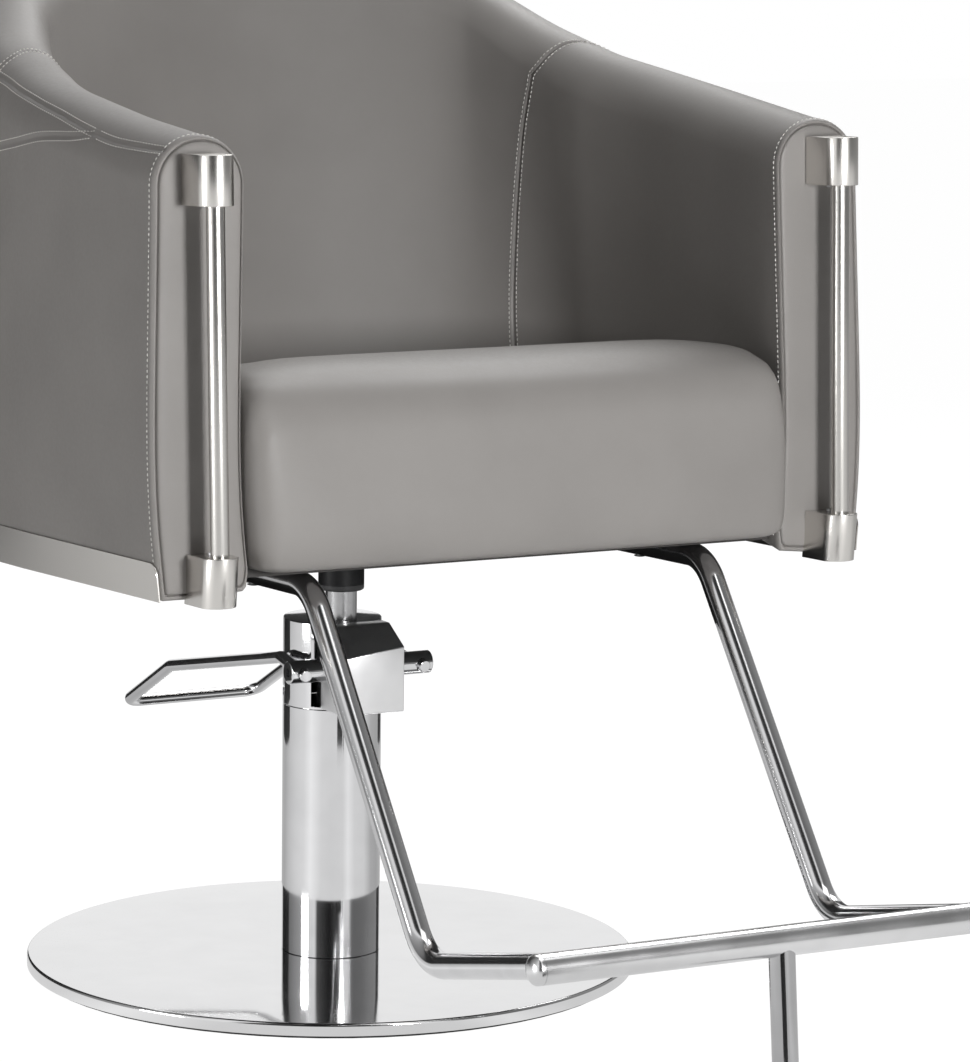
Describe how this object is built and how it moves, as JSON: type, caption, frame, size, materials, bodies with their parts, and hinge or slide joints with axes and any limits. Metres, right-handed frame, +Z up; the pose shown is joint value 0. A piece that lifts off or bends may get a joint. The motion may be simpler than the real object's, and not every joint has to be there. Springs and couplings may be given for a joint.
{
  "type": "hairdressing chair",
  "caption": "Hairdressing chair: padded tub seat with upright rods on the arm fronts, on a hydraulic swivel column with a pump lever, a round disc base and a tubular footrest.",
  "frame": {"origin": "on the floor, at the centre of the round base", "axes": "+Z up, -Y towards the footrest (the way a sitter faces), +X towards the sitter's left"},
  "size_m": [0.7088, 1.1871, 0.9885],
  "materials": {
    "chrome": "polished",
    "stainless": "fine brushed",
    "steel": "plain machined",
    "leather": "smooth grey leatherette with pale stitching",
    "black_steel": "satin black",
    "rubber": "matte",
    "plywood": "raw",
    "polymer": "matte"
  },
  "bodies": {
    "base": {"base_pad": "rubber", "base_weight": "steel", "base_cover": "stainless", "base_bolt_1": "steel", "base_bolt_2": "steel", "base_bolt_3": "steel", "base_bolt_4": "steel", "pump_flange": "steel", "pump_cylinder": "steel", "cylinder_gland": "polymer", "column_tube": "chrome", "pump_head_cover": "chrome", "pump_block": "chrome"},
    "lift": {"piston_head": "steel", "piston_seal": "rubber"},
    "seat": {"piston_rod": "chrome", "swivel_collar": "black_steel", "hub_plate": "black_steel", "hub_bolt_1": "steel", "hub_bolt_2": "steel", "hub_bolt_3": "steel", "hub_bolt_4": "steel", "seat_board": "plywood", "seat_cushion": "leather", "shell_frame": "plywood", "right_arm": "leather", "left_arm": "leather", "backrest": "leather", "trim_band": "stainless", "right_post_rod": "stainless", "left_post_rod": "stainless", "right_lower_post_cap": "stainless", "right_upper_post_cap": "stainless", "left_lower_post_cap": "stainless", "left_upper_post_cap": "stainless", "right_lower_cap_screw": "steel", "right_upper_cap_screw": "steel", "left_lower_cap_screw": "steel", "left_upper_cap_screw": "steel", "footrest_tube_right": "chrome", "footrest_tube_left": "chrome", "footrest_bolt_right_1": "steel", "footrest_bolt_right_2": "steel", "footrest_bolt_left_1": "steel", "footrest_bolt_left_2": "steel", "footrest_crossbar": "chrome", "crossbar_end_right": "chrome", "crossbar_end_left": "chrome", "footrest_leg": "chrome", "leg_tip": "rubber"},
    "lever": {"lever_shaft": "chrome", "pump_lever": "chrome", "lever_set_screw_right": "black_steel", "lever_set_screw_left": "black_steel"},
    "plunger": {"pump_plunger": "steel"}
  },
  "joints": [
    {"name": "seat_lift", "type": "slide", "parent": "base", "child": "lift", "axis": [0, 0, 1], "range_m": [0, 0.14]},
    {"name": "seat_swivel", "type": "hinge", "parent": "lift", "child": "seat", "pos_m": [0, -0.018, 0.4], "axis": [0, 0, 1], "continuous": true},
    {"name": "lever_pump", "type": "hinge", "parent": "base", "child": "lever", "pos_m": [0, -0.056, 0.2977], "axis": [1, 0, 0], "range_deg": [-20, 0], "stiffness_Nm_per_rad": 6, "springref_deg": 20.05},
    {"name": "plunger_slide", "type": "slide", "parent": "base", "child": "plunger", "axis": [0, 0, 1], "range_m": [-0.0045, 0]}
  ],
  "couplings": [
    {"joint": "plunger_slide", "follows": "lever_pump", "m_per_rad": 0.0115}
  ]
}
